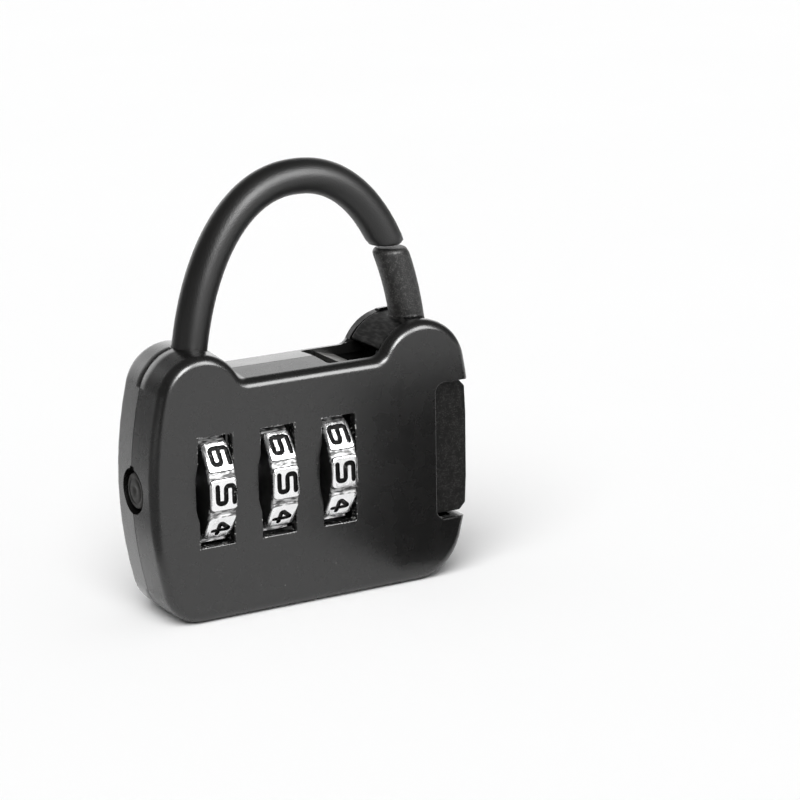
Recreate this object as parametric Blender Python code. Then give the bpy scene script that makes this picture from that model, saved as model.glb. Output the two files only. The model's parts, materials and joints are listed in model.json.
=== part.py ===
"""Luggage combination padlock: two cast covers, a C shackle with a swinging gate, a side push button,
three code dials on a spindle and a reset screw.

Lengths below are millimetres and are turned into metres by mm(). X runs along the front face,
the front faces -Y, Z is up, and the lock stands with the middle of its base on the origin.
"""
import math

import bmesh
import bpy

# ---- covers ----
HALF_DEPTH = 5.0            # parting plane to either flat face
PARTING_GAP = 0.05          # each cover stops this far from the parting plane
EDGE_RINGS = ((0.23, 3.7), (0.42, 4.35), (0.75, 4.8),
              (1.18, HALF_DEPTH))   # (inset, depth): drafted side, then rounding
BASE_DROP = 0.23            # takes the draft out of the underside, so that the lock stands flat
LOWER_LEFT = (-14.38, 4.72, 4.72)     # outline circles: x, z, radius
LOWER_RIGHT = (13.3, 6.16, 6.16)
LEFT_SHOULDER = (-13.71, 25.26, 5.44)
RIGHT_SHOULDER = (14.0, 24.96, 6.0)
SIDE_RADIUS = 47.0          # gentle outward bow of both sides
RECESS_Z = 27.32            # flat top between the shoulders
FILLET = 1.15               # where the flat top meets a shoulder
WALL_Y = 3.8                # inner face of either cover
CAVITY = ((-14.4, 1.4), (13.4, 1.4), (16.8, 3.0), (18.0, 6.2), (18.0, 23.0), (11.0, 26.0),
          (-9.6, 26.0), (-9.6, 23.2), (-17.8, 23.2), (-18.7, 18.6), (-18.7, 11.6), (-17.7, 5.0))
NOTCH_X = 15.6              # thumb notch for the button
NOTCH_Z = (7.0, 23.2)
SLOT_X = (2.6, 10.5)        # opening in the flat top that takes the gate
SLOT_HALF_Y = 3.4
SLOT_FLOOR_Z = 25.6

# ---- code mechanism, all on one axis along X ----
AXIS_Z = 15.1
PITCH = 7.7
WINDOW_X = tuple(-4.78 + PITCH * k for k in (-1, 0, 1))
DIAL_X = tuple(x + play for x, play in zip(WINDOW_X, (0.0, 0.0, -0.3)))   # the last sits to one side
DIAL_RADIUS = 7.15
DIAL_HALF_WIDTH = 1.68
DIAL_BORE = 2.7
FACETS = 10
GROOVE_DEPTH = 0.35
WINDOW = (4.19, 12.55)      # width, height
SCOOP_WIDTH = 0.45
SCOOP_RADII = (5.3, 6.75)
SLEEVE_RADIUS = 2.6
SLEEVE_BORE = 1.7
FLANGE_RADIUS = 3.7
FLANGE_X = (2.05, 2.85)     # from the dial's middle
CODE_GATE = (0.8, 2.75)     # half width and bottom radius of the notches in a flange
KEY_RADIUS = 3.5
KEY_HALF = 0.6
SPACER_RADIUS = 2.2
SPINDLE_RADIUS = 1.6
SPINDLE_BORE = 0.8
SPINDLE_X = (-17.2, 10.9)
SPINDLE_COLLAR = (-14.8, -14.45)
CLIP_X = (5.57, 6.17)       # retaining clip after the last sleeve
CLIP_RADIUS = 2.6
RIB_LEFT = (-15.9, -14.9)   # bearing ribs in both covers
RIB_RIGHT = (9.6, 10.6)
RIB_Z = (11.5, 18.7)
RIB_Y = 4.2                 # ribs and bosses run from the parting plane into the wall
STOP_X, STOP_Z = (16.0, 17.0), (1.2, 6.9)     # lip that keeps the button in
RESET_RADIUS = 2.12
RESET_FLANGE = 3.0
RESET_X = (-20.0, -18.5, -17.9)      # head, flange, cam
RESET_HOLE = 2.6
RESET_STROKE = 1.2          # spindle shift for a quarter turn
CAM_CLEARANCE_DEG = 5

# ---- button, locking bar and gate ----
BUTTON_X = (14.0, 20.35)
BUTTON_Z = (7.3, 22.9)
BUTTON_HALF_Y = 3.7
BUTTON_BORE = 2.45
SWING_DEG = 60              # with this swing the button's travel equals the drive radius
BAR_Z = (5.6, 7.4)
BAR_HALF_Y = 1.2
FIN_X = (4.75, 5.4)         # from each dial's middle
FIN_TOP_RADIUS = 2.9
PIVOT = RIGHT_SHOULDER[:2]
PIVOT_PIN_RADIUS = 0.8
PIVOT_PIN_HALF_Y = 4.3
DRIVE_RADIUS = 2.6
DRIVE_PIN_RADIUS = 0.65
HUB_RADIUS = 5.55
HUB_HALF_Y = 3.3
HUB_SECTOR = (20, 150)      # degrees, at rest
HUB_CORE_RADIUS = 1.85
HUB_ROOM = (5.0, 5.7, 8.0)  # radii cut in the covers: inside, where the rim sweeps, where the rim shows
HUB_ROOM_Y = 3.45
# Behind the hub the rear cover's shoulder is cut down to this radius, over these degrees.
REAR_RIM = (5.5, 100, 152)
STOP_BLOCK = ((4.6, 25.0), (7.0, 25.0), (7.0, 26.1),
              (4.6, 26.75))     # the open gate's arm comes down over this
PLATE_POCKET = (4.35, -2.3)          # radius and floor of the hub's front pocket
SPRING_POCKET = (3.1, 2.35)
PLATE_Y = (-3.2, -2.4)

# ---- shackle ----
ROD_RADIUS = 2.0
ARCH_CENTRE = (0.89, 22.3)  # the rod's middle line is half of a fuller-than-round ellipse about this point
ARCH_X, ARCH_Z = 14.24, 25.69
ARCH_POWER = 2.18           # 2 would be an ellipse
HOOK_FACE_Z = 39.05         # both free ends are cut level
GATE_FACE_Z = 38.6
FACE_TRIM = 1.2             # each rod is swept this far past its cut
GATE_FOOT_Z = 29.0
GATE_OFFSET = 0.1           # the gate stands outside the arch line by this much

HOLE_CLEARANCE = 0.05       # radial, round pins and the rod
PINS = ((-15.6, 5.0), (12.5, 3.6), (-17.0, 21.3), (5.2, 23.9))
PIN_RADIUS = 0.8
PIN_HALF_Y = 3.4
BOSS_RADIUS = 1.5

MATERIALS = {
    "black_paint": ((0.012, 0.012, 0.013, 1), 0.35, 0.0),
    "cast_black": ((0.03, 0.03, 0.032, 1), 0.5, 0.2),
    "chrome": ((0.85, 0.85, 0.87, 1), 0.08, 1.0),
    "zinc": ((0.42, 0.42, 0.44, 1), 0.4, 1.0),
    "spring_steel": ((0.55, 0.56, 0.58, 1), 0.25, 1.0),
}


def mm(value):
    return value * 0.001


def start():
    for item in list(bpy.data.objects):
        bpy.data.objects.remove(item, do_unlink=True)
    for group in list(bpy.data.collections):
        bpy.data.collections.remove(group)
    groups = {}
    for name in ("luggage_padlock", "cutters"):
        groups[name] = bpy.data.collections.new(name)
        bpy.context.scene.collection.children.link(groups[name])
    groups["cutters"].hide_render = True
    for name, (colour, roughness, metallic) in MATERIALS.items():
        made = bpy.data.materials.new(name)
        made.use_nodes = True
        shader = made.node_tree.nodes["Principled BSDF"]
        shader.inputs["Base Color"].default_value = colour
        shader.inputs["Roughness"].default_value = roughness
        shader.inputs["Metallic"].default_value = metallic
    return groups


GROUPS = start()


# ---------------------------------------------------------------- solids

def solid(name, points, faces, material=None):
    """An object from points in millimetres. With no material it is a cutter or a piece to be joined on."""
    mesh = bpy.data.meshes.new(name)
    mesh.from_pydata([tuple(mm(c) for c in p) for p in points], [], faces)
    work = bmesh.new()
    work.from_mesh(mesh)
    bmesh.ops.recalc_face_normals(work, faces=work.faces)
    work.to_mesh(mesh)
    work.free()
    made = bpy.data.objects.new(name, mesh)
    if material:
        mesh.materials.append(bpy.data.materials[material])
        GROUPS["luggage_padlock"].objects.link(made)
    else:
        made.display_type = "WIRE"
        made.hide_render = True
        GROUPS["cutters"].objects.link(made)
    return made


def loft(name, rings, material=None, closed=False):
    """Skin between rings of equal length; the ends are capped unless the rings close on themselves."""
    count, size = len(rings), len(rings[0])
    faces = [
        (i * size + j, i * size + (j + 1) % size, (i + 1) % count * size + (j + 1) % size,
         (i + 1) % count * size + j)
        for i in range(count if closed else count - 1) for j in range(size)
    ]
    if not closed:
        faces += [tuple(range(size)), tuple(range((count - 1) * size, count * size))]
    return solid(name, [p for ring in rings for p in ring], faces, material)


def circle(centre, radius, count=24):
    return [(centre[0] + radius * math.cos(math.tau * i / count),
             centre[1] + radius * math.sin(math.tau * i / count)) for i in range(count)]


def along_y(name, loop, low, high, material=None):
    """A solid with an XZ outline."""
    return loft(name, [[(x, y, z) for x, z in loop] for y in (low, high)], material)


def along_x(name, loop, low, high, material=None):
    """A solid with a YZ outline, given about the dial axis."""
    return loft(name, [[(x, y, AXIS_Z + z) for y, z in loop] for x in (low, high)], material)


def box(name, x, y, z, material=None):
    return loft(name, [[(i, y[0], z[0]), (i, y[1], z[0]), (i, y[1], z[1]), (i, y[0], z[1])] for i in x],
                material)


def turned(name, steps, material=None, bore=0.0, count=24, end_waves=(None, None)):
    """A turned piece on the dial axis: steps are (x, radius).

    A wave adds to an end's x by the angle about the axis, in degrees.
    """
    if not bore:
        return loft(name, [[(x, y, AXIS_Z + z) for y, z in circle((0, 0), radius, count)]
                           for x, radius in steps], material)
    profile = list(steps) + [(steps[-1][0], bore), (steps[0][0], bore)]
    first_wave, last_wave = end_waves
    ends = {0: first_wave, len(steps) + 1: first_wave, len(steps) - 1: last_wave, len(steps): last_wave}
    rings = []
    for i in range(count):
        angle = math.tau * i / count
        rings.append([
            (x + (ends[k](math.degrees(angle)) if ends.get(k) else 0.0), radius * math.cos(angle),
             AXIS_Z + radius * math.sin(angle))
            for k, (x, radius) in enumerate(profile)
        ])
    return loft(name, rings, material, closed=True)


def swept(name, path, radii, sides=16, material=None):
    """A round rod along a path in the XZ plane."""
    rings = []
    for i, ((x, z), radius) in enumerate(zip(path, radii)):
        before, after = path[max(i - 1, 0)], path[min(i + 1, len(path) - 1)]
        run, rise = after[0] - before[0], after[1] - before[1]
        size = math.hypot(run, rise)
        normal = (-rise / size, run / size)
        rings.append([
            (x + radius * math.cos(a) * normal[0], radius * math.sin(a),
             z + radius * math.cos(a) * normal[1])
            for a in (math.tau * (j + 0.5) / sides for j in range(sides))
        ])
    return loft(name, rings, material)


def coil(name, place, mean, wire, length, turns, material="spring_steel", steps=12, sides=6):
    """A wire spring; place(u, v, w) puts its axis w and its cross plane u, v into the part."""
    rings = []
    for i in range(int(turns * steps) + 1):
        turn = math.tau * i / steps
        out = (math.cos(turn), math.sin(turn))
        rings.append([
            place(out[0] * (mean + wire * math.cos(a)), out[1] * (mean + wire * math.cos(a)),
                  length * i / (turns * steps) + wire * math.sin(a))
            for a in (math.tau * j / sides for j in range(sides))
        ])
    return loft(name, rings, material)


def change(target, operation, *tools):
    for tool in tools:
        step = target.modifiers.new(tool.name, "BOOLEAN")
        step.operation, step.solver, step.object = operation, "EXACT", tool
    return target


def cut(target, *tools):
    return change(target, "DIFFERENCE", *tools)


def join(target, *pieces):
    return change(target, "UNION", *pieces)


def pivot_at(piece, x, z, y=0.0):
    """Puts a moving piece's origin on its joint's axis, without moving its shape."""
    point = [mm(c) for c in (x, y, z)]
    piece.location = point
    for vertex in piece.data.vertices:
        vertex.co = [c - p for c, p in zip(vertex.co, point)]
    return piece


# ---------------------------------------------------------------- outline of the covers

def sector_arc(centre, radius, start_deg, end_deg, count):
    return [
        (centre[0] + radius * math.cos(math.radians(a)), centre[1] + radius * math.sin(math.radians(a)))
        for a in (start_deg + (end_deg - start_deg) * i / count for i in range(count + 1))
    ]


def side_centre(low, high, sign):
    """Centre of the bowed side, inside-tangent to two corner circles. sign is +1 for the right side."""
    reach_low, reach_high = SIDE_RADIUS - low[2], SIDE_RADIUS - high[2]
    dx, dz = high[0] - low[0], high[1] - low[1]
    span = math.hypot(dx, dz)
    along = (reach_low ** 2 - reach_high ** 2 + span ** 2) / (2 * span)
    off = math.sqrt(reach_low ** 2 - along ** 2)
    ux, uz = dx / span, dz / span
    return low[0] + ux * along - sign * uz * off, low[1] + uz * along + sign * ux * off


def bearing(start_point, end_point):
    return math.degrees(math.atan2(end_point[1] - start_point[1], end_point[0] - start_point[0])) % 360


def fillet_centre(shoulder, sign):
    """Centre of the concave fillet beside a shoulder; sign is +1 when it lies at greater x."""
    rise = RECESS_Z + FILLET - shoulder[1]
    return shoulder[0] + sign * math.sqrt((shoulder[2] + FILLET) ** 2 - rise ** 2), RECESS_Z + FILLET


def outline(inset):
    """The lock's outline, drawn inward by inset, counter-clockwise from the lower right."""
    right, left = side_centre(LOWER_RIGHT, RIGHT_SHOULDER, 1), side_centre(LOWER_LEFT, LEFT_SHOULDER, -1)
    right_fillet, left_fillet = fillet_centre(RIGHT_SHOULDER, -1), fillet_centre(LEFT_SHOULDER, 1)
    low_right, high_right = bearing(right, LOWER_RIGHT) - 360, bearing(right, RIGHT_SHOULDER)
    high_left, low_left = bearing(left, LEFT_SHOULDER), bearing(left, LOWER_LEFT)
    to_right_fillet = bearing(RIGHT_SHOULDER, right_fillet)
    to_left_shoulder = bearing(left_fillet, LEFT_SHOULDER)
    arcs = (
        (LOWER_RIGHT, LOWER_RIGHT[2] - inset, -90, low_right, 6),
        (right, SIDE_RADIUS - inset, low_right, high_right, 5),
        (RIGHT_SHOULDER, RIGHT_SHOULDER[2] - inset, high_right, to_right_fillet, 14),
        (right_fillet, FILLET + inset, to_right_fillet + 180, 270, 4),
        (left_fillet, FILLET + inset, 270, to_left_shoulder, 4),
        (LEFT_SHOULDER, LEFT_SHOULDER[2] - inset, to_left_shoulder - 180, high_left, 14),
        (left, SIDE_RADIUS - inset, high_left, low_left, 5),
        (LOWER_LEFT, LOWER_LEFT[2] - inset, low_left, 270, 6),
    )
    points = []
    for centre, radius, start_deg, end_deg, count in arcs:
        arc = sector_arc(centre, radius, start_deg, end_deg, count)
        points += arc if not points or math.dist(points[-1], arc[0]) > 1e-3 else arc[1:]
    return points


# ---------------------------------------------------------------- pieces

def level_base(points):
    """The underside of a drafted outline brought back to z = 0, fading out up the corners."""
    return [(x, z - BASE_DROP * max(0.0, min(1.0, (4.0 - z) / 3.5))) for x, z in points]


def arch_point(z, side):
    """The middle line's point at this height; side is -1 for the left half and +1 for the right one."""
    share = max(0.0, 1 - ((z - ARCH_CENTRE[1]) / ARCH_Z) ** ARCH_POWER)
    return ARCH_CENTRE[0] + side * ARCH_X * share ** (1 / ARCH_POWER), z


def arch_height(angle):
    return ARCH_CENTRE[1] + ARCH_Z * math.sin(angle)


def hook_path():
    end_angle = math.asin((HOOK_FACE_Z - FACE_TRIM - ARCH_CENTRE[1]) / ARCH_Z)
    count = 12
    left = [arch_point(arch_height(math.pi / 2 * i / count), -1) for i in range(count + 1)]
    right = [arch_point(arch_height(math.pi / 2 + (end_angle - math.pi / 2) * i / count), 1)
             for i in range(1, count + 1)]
    return left + right


def shackle_hook():
    path = hook_path()
    hook = swept("shackle_hook", path, [ROD_RADIUS] * len(path), material="black_paint")
    return cut(hook, box("hook_end_cut", (PIVOT[0] - 6, PIVOT[0] + 2), (-3, 3),
                         (HOOK_FACE_Z - 2 * FACE_TRIM, HOOK_FACE_Z)))


def hub_sector(radius, start_deg, end_deg, count=14):
    return [PIVOT] + sector_arc(PIVOT, radius, start_deg, end_deg, count)


def cover(name, side):
    """side is -1 for the front cover and +1 for the rear one."""
    rings = [[(x, side * PARTING_GAP, z) for x, z in outline(0.0)]]
    rings += [[(x, side * depth, z) for x, z in level_base(outline(inset))] for inset, depth in EDGE_RINGS]
    shell = loft(name, rings, "black_paint")
    cut(shell, along_y(name + "_cavity", CAVITY, *sorted((side * -1.0, side * WALL_Y))))
    rib_y = sorted((side * PARTING_GAP, side * RIB_Y))
    join(shell,
         *(box(f"{name}_rib_{i}", x, rib_y, RIB_Z) for i, x in enumerate((RIB_LEFT, RIB_RIGHT))),
         box(name + "_stop", STOP_X, rib_y, STOP_Z),
         *(along_y(f"{name}_boss_{i}", circle(p, BOSS_RADIUS, 16), *rib_y) for i, p in enumerate(PINS)))
    seat_y = sorted((side * -1.0, side * (PIN_HALF_Y + 0.2)))
    cut(shell, *(along_y(f"{name}_pin_seat_{i}", circle(p, PIN_RADIUS + HOLE_CLEARANCE, 12), *seat_y)
                 for i, p in enumerate(PINS)))
    # room for the hub, open to the outside where its rim shows
    room_y = sorted((side * -1.0, side * HUB_ROOM_Y))
    inside, sweep, mouth = HUB_ROOM
    cut(shell,
        along_y(name + "_hub_room", circle(PIVOT, inside, 28), *room_y),
        along_y(name + "_hub_sweep",
                hub_sector(sweep, HUB_SECTOR[0] - 4, HUB_SECTOR[1] + SWING_DEG + 8, 20), *room_y),
        along_y(name + "_hub_mouth", hub_sector(mouth, HUB_SECTOR[0] - 4, HUB_SECTOR[1]), *room_y),
        along_y(name + "_pivot_seat", circle(PIVOT, PIVOT_PIN_RADIUS + HOLE_CLEARANCE, 12),
                *sorted((side * -1.0, side * (PIVOT_PIN_HALF_Y + 0.1)))),
        box(name + "_gate_slot", SLOT_X, (-SLOT_HALF_Y, SLOT_HALF_Y), (SLOT_FLOOR_Z, RECESS_Z + 1.5)),
        swept(name + "_hook_seat", hook_path()[:5], [ROD_RADIUS + HOLE_CLEARANCE] * 5))
    cut(shell,
        turned(name + "_spindle_seat", ((-18.0, SPINDLE_RADIUS + 0.1), (12.0, SPINDLE_RADIUS + 0.1)),
               count=20),
        turned(name + "_reset_hole", ((-21.0, RESET_HOLE), (-18.3, RESET_HOLE)), count=24),
        box(name + "_notch", (NOTCH_X, 22.0), (-6.0, 6.0), NOTCH_Z))
    for x in WINDOW_X:
        window = box(f"{name}_window_{x:.0f}", (x - WINDOW[0] / 2, x + WINDOW[0] / 2),
                     sorted((side * 3.0, side * 6.0)),
                     (AXIS_Z - WINDOW[1] / 2, AXIS_Z + WINDOW[1] / 2))
        edge = x + side * WINDOW[0] / 2
        scoop = turned(f"{name}_scoop_{x:.0f}",
                       ((edge + side * SCOOP_WIDTH, SCOOP_RADII[0]), (edge - side * 0.3, SCOOP_RADII[1])),
                       count=48)
        cut(shell, window, scoop)
    if side > 0:
        radius, *span = REAR_RIM
        ring = sector_arc(PIVOT, HUB_ROOM[2], *span, 16) + sector_arc(PIVOT, radius, *reversed(span), 16)
        cut(shell, along_y(name + "_rim", ring, HUB_ROOM_Y - 0.5, 6.0))
    return join(shell, along_y(name + "_gate_stop", STOP_BLOCK, *rib_y))


def dial(name, x):
    """A ten-sided number wheel with a groove between facets and a pocket for its sleeve's key."""
    step = math.tau / FACETS
    outer = []
    for i in range(FACETS):
        for offset, radius in ((-0.40, DIAL_RADIUS), (0.40, DIAL_RADIUS),
                               (0.5, DIAL_RADIUS - GROOVE_DEPTH)):
            angle = (i + offset) * step
            outer.append((radius * math.cos(angle), radius * math.sin(angle)))
    wheel = along_x(name, outer, x - DIAL_HALF_WIDTH, x + DIAL_HALF_WIDTH, "chrome")
    bore = turned(name + "_bore", ((x - 3, DIAL_BORE), (x + 3, DIAL_BORE)), count=24)
    pocket = box(name + "_pocket", (x + 1.05, x + 3), (1.0, KEY_RADIUS + 0.2),
                 (AXIS_Z - KEY_HALF - 0.1, AXIS_Z + KEY_HALF + 0.1))
    return cut(wheel, bore, pocket)


def code_sleeve(name, x):
    """Carries a dial by a key; its flange stops the locking bar unless a gate is under the fin."""
    start_x = x - DIAL_HALF_WIDTH - 0.05
    sleeve = turned(name, ((start_x, SLEEVE_RADIUS), (x + FLANGE_X[0], SLEEVE_RADIUS),
                           (x + FLANGE_X[0], FLANGE_RADIUS),
                           (x + FLANGE_X[1], FLANGE_RADIUS)), "zinc", bore=SLEEVE_BORE)
    key = box(name + "_key", (x + 1.15, x + FLANGE_X[0] + 0.2), (2.2, KEY_RADIUS),
              (AXIS_Z - KEY_HALF, AXIS_Z + KEY_HALF))
    gates = [box(f"{name}_gate_{i}", (x + 1.95, x + 3.0), (-CODE_GATE[0], CODE_GATE[0]),
                 sorted((AXIS_Z + sign * CODE_GATE[1], AXIS_Z + sign * 5.0)))
             for i, sign in enumerate((-1, 1))]
    return cut(join(sleeve, key), *gates)


def ramp(degrees, clearance=0.0):
    """Two equal cam ramps, each falling over a quarter turn, and starting late by the clearance."""
    within = degrees % 180
    return RESET_STROKE * (1 - within / 90) if clearance <= within < 90 else 0.0


def locking_bar():
    bar = box("locking_bar", (-8.3, 13.8), (-BAR_HALF_Y, BAR_HALF_Y), BAR_Z, "zinc")
    fins = [box(f"locking_bar_fin_{k}", (x + FIN_X[0], x + FIN_X[1]), (-0.6, 0.6),
                (BAR_Z[0] + 0.4, AXIS_Z - FIN_TOP_RADIUS)) for k, x in enumerate(DIAL_X)]
    tab = box("locking_bar_tab", (13.0, 13.79), (-BAR_HALF_Y + 0.01, BAR_HALF_Y - 0.01),
              (BAR_Z[0] + 0.4, 9.6))
    return join(bar, *fins, tab)


def side_button():
    x0, x1 = BUTTON_X
    z0, z1 = BUTTON_Z
    loop = [(x0, z0 - 1.1), (x0 + 1.8, z0 - 1.1), (x0 + 1.8, z0), (x1 - 0.9, z0), (x1 - 0.15, z0 + 0.8),
            (x1, z0 + 4.0),
            (x1, z1 - 4.0), (x1 - 0.15, z1 - 0.8), (x1 - 0.9, z1), (x0, z1)]
    button = along_y("side_button", loop, -BUTTON_HALF_Y, BUTTON_HALF_Y, "cast_black")
    bore = turned("button_spring_bore", ((x0 - 1, BUTTON_BORE), (17.2, BUTTON_BORE)), count=20)
    plate_slot = box("button_plate_slot", (PIVOT[0] + 3.7, PIVOT[0] + 4.6),
                     (PLATE_Y[0] - 0.1, PLATE_Y[1] + 0.1), (20.3, 24.0))
    return cut(button, bore, plate_slot)


def drive_plate():
    """Stands in the button and carries a fork round the hub's drive pin."""
    loop = [(3.8, -4.5), (4.5, -4.5), (4.5, 0.85), (2.85, 2.1), (2.8, 2.95), (2.05, 2.95), (2.05, 1.42),
            (0.55, 1.42),
            (0.55, 2.95), (-0.2, 2.95), (-0.2, 0.9), (3.8, 0.9)]
    return along_y("gate_drive_plate", [(PIVOT[0] + x, PIVOT[1] + z) for x, z in loop], *PLATE_Y, "zinc")


def drive_point():
    """Where the drive pin stands at rest: its swing is centred on the top of the hub."""
    angle = math.radians(90 - SWING_DEG / 2)
    return PIVOT[0] + DRIVE_RADIUS * math.cos(angle), PIVOT[1] + DRIVE_RADIUS * math.sin(angle)


def gate_arm():
    """Hub and arm of the gate in one casting."""
    hub = along_y("gate_arm", hub_sector(HUB_RADIUS, *HUB_SECTOR), -HUB_HALF_Y, HUB_HALF_Y, "cast_black")
    count, tip_z = 8, GATE_FACE_Z + FACE_TRIM
    heights = [GATE_FOOT_Z + (tip_z - GATE_FOOT_Z) * i / count for i in range(count + 1)]
    path = [(arch_point(z, 1)[0] + GATE_OFFSET, z) for z in heights]
    arm = swept("gate_arm_rod", path, [ROD_RADIUS] * len(path))
    core = along_y("gate_arm_core", circle(PIVOT, HUB_CORE_RADIUS, 20), PLATE_POCKET[1] + 0.01,
                   SPRING_POCKET[1] - 0.01)
    join(hub, arm, core)
    return cut(hub,
               box("gate_tip_cut", (PIVOT[0] - 6, PIVOT[0] + 4), (-3, 3),
                   (GATE_FACE_Z, GATE_FACE_Z + 3 * FACE_TRIM)),
               along_y("hub_front_pocket", circle(PIVOT, PLATE_POCKET[0], 28), -5.0, PLATE_POCKET[1]),
               along_y("hub_spring_pocket", circle(PIVOT, SPRING_POCKET[0], 20), SPRING_POCKET[1], 5.0),
               along_y("hub_pivot_bore", circle(PIVOT, PIVOT_PIN_RADIUS + 0.06, 16), -5.0, 5.0),
               along_y("hub_drive_bore", circle(drive_point(), DRIVE_PIN_RADIUS + HOLE_CLEARANCE, 12), -5.0,
                       -0.6))


def detent_spring():
    """A strip with a tongue that rises under each dial."""
    loop = [(-14.3, 1.55), (2.4, 1.55), (2.4, 1.85)]
    for x in reversed(DIAL_X):
        root = x - 1.6
        loop += [(root + 0.4, 1.85), (x + 0.6, 7.45), (x - 0.1, 7.75), (root, 1.86)]
    loop.append((-14.3, 1.85))
    return along_y("detent_spring", loop, 1.7, 3.3, "spring_steel")


def build():
    cover("front_cover", -1)
    cover("rear_cover", 1)
    shackle_hook()
    pivot_at(gate_arm(), *PIVOT)
    pivot_at(along_y("drive_pin", circle(drive_point(), DRIVE_PIN_RADIUS, 12), -3.25, -0.8, "spring_steel"),
             *PIVOT)
    along_y("gate_pivot_pin", circle(PIVOT, PIVOT_PIN_RADIUS, 16), -PIVOT_PIN_HALF_Y, PIVOT_PIN_HALF_Y,
            "spring_steel")
    coil("gate_spring", lambda u, v, w: (PIVOT[0] + u, 2.62 + w, PIVOT[1] + v), 1.7, 0.15, 0.5, 1.5)
    for piece in (side_button(), drive_plate(), locking_bar()):
        pivot_at(piece, BUTTON_X[0], AXIS_Z)
    coil("button_spring", lambda u, v, w: (10.85 + w, u, AXIS_Z + v), 2.05, 0.18, 6.0, 5)
    for k, x in enumerate(DIAL_X, 1):
        pivot_at(dial(f"dial_{k}", x), x, AXIS_Z)
        pivot_at(code_sleeve(f"code_sleeve_{k}", x), x, AXIS_Z)
        if k < len(DIAL_X):
            spacer_x = x + FLANGE_X[1] + 0.1, DIAL_X[k] - DIAL_HALF_WIDTH - 0.15
            spacer = turned(f"sleeve_spacer_{k}", [(end, SPACER_RADIUS) for end in spacer_x], "zinc",
                            bore=SLEEVE_BORE, count=20)
            pivot_at(spacer, spacer_x[0], AXIS_Z)
    spindle = turned("spindle",
                     ((SPINDLE_X[0], SPINDLE_RADIUS), (SPINDLE_COLLAR[0], SPINDLE_RADIUS),
                      (SPINDLE_COLLAR[0], SPACER_RADIUS), (SPINDLE_COLLAR[1], SPACER_RADIUS),
                      (SPINDLE_COLLAR[1], SPINDLE_RADIUS), (SPINDLE_X[1], SPINDLE_RADIUS)),
                     "zinc", bore=SPINDLE_BORE, count=32, end_waves=(ramp, None))
    pivot_at(spindle, SPINDLE_X[0], AXIS_Z)
    pivot_at(turned("retaining_clip", [(x, CLIP_RADIUS) for x in CLIP_X], "spring_steel", bore=SLEEVE_BORE,
                    count=20), CLIP_X[0], AXIS_Z)
    coil("spindle_spring", lambda u, v, w: (6.7 + w, u, AXIS_Z + v), 2.2, 0.18, 2.6, 3)
    head, flange, cam = RESET_X
    screw = turned("reset_screw",
                   ((head, RESET_RADIUS), (flange, RESET_RADIUS), (flange, RESET_FLANGE),
                    (cam, RESET_FLANGE), (cam, SPINDLE_RADIUS), (SPINDLE_X[0] - 0.12, SPINDLE_RADIUS)),
                   "zinc", bore=SPINDLE_BORE, count=32,
                   end_waves=(None, lambda degrees: ramp(degrees, CAM_CLEARANCE_DEG)))
    pivot_at(screw, SPINDLE_X[0], AXIS_Z)
    detent_spring()
    for i, place in enumerate(PINS, 1):
        along_y(f"assembly_pin_{i}", circle(place, PIN_RADIUS, 12), -PIN_HALF_Y, PIN_HALF_Y, "spring_steel")


build()
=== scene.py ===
"""Looks of the luggage combination padlock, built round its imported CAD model.

Lengths below are millimetres and mm() turns them into metres. X runs along the front face towards
the push button, the front faces -Y and Z is up. Places come from the frame's joints and boxes.
"""

import json
import math

import bmesh
import bpy
from mathutils import Matrix, Vector


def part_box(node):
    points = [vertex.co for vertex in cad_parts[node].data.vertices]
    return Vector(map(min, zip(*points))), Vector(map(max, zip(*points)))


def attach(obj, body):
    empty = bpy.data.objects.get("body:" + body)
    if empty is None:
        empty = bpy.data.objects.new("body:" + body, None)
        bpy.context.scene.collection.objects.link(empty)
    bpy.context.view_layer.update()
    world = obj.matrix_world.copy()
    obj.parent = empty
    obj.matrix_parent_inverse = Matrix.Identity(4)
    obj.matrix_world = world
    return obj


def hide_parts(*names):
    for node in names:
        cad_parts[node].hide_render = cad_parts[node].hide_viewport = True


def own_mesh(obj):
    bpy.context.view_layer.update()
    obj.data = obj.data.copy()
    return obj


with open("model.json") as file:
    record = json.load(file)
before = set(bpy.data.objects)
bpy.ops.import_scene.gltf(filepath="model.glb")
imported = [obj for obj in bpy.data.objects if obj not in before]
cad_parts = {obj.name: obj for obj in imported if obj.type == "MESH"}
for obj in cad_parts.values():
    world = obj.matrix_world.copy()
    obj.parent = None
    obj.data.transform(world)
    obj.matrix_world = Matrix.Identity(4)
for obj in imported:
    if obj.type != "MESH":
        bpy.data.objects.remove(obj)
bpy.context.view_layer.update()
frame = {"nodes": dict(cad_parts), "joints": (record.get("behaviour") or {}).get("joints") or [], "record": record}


def mm(value):
    return value * 0.001


def joint_place(name):
    """A joint's place in millimetres."""
    return [1000 * c for c in next(j for j in frame["joints"] if j["name"] == name)["pos_m"]]


def node_box(name):
    """Lowest and highest corner of a CAD node, in millimetres."""
    return [[1000 * c for c in corner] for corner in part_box(name)]


# ---- places from the frame ----
PIVOT = joint_place("gate_swing")[::2]
DIAL_PLACES = [joint_place(f"dial_{k}_spin") for k in (1, 2, 3)]
DIAL_X = [place[0] for place in DIAL_PLACES]
AXIS_Z = DIAL_PLACES[0][2]
PITCH = DIAL_X[1] - DIAL_X[0]
WINDOW_X = [DIAL_X[1] + PITCH * k for k in (-1, 0, 1)]   # the last wheel sits to one side of its window
FACE_Y = node_box("rear_cover")[1][1]            # parting plane to either flat face
OUTER_X = node_box("side_button")[1][0]

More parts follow.
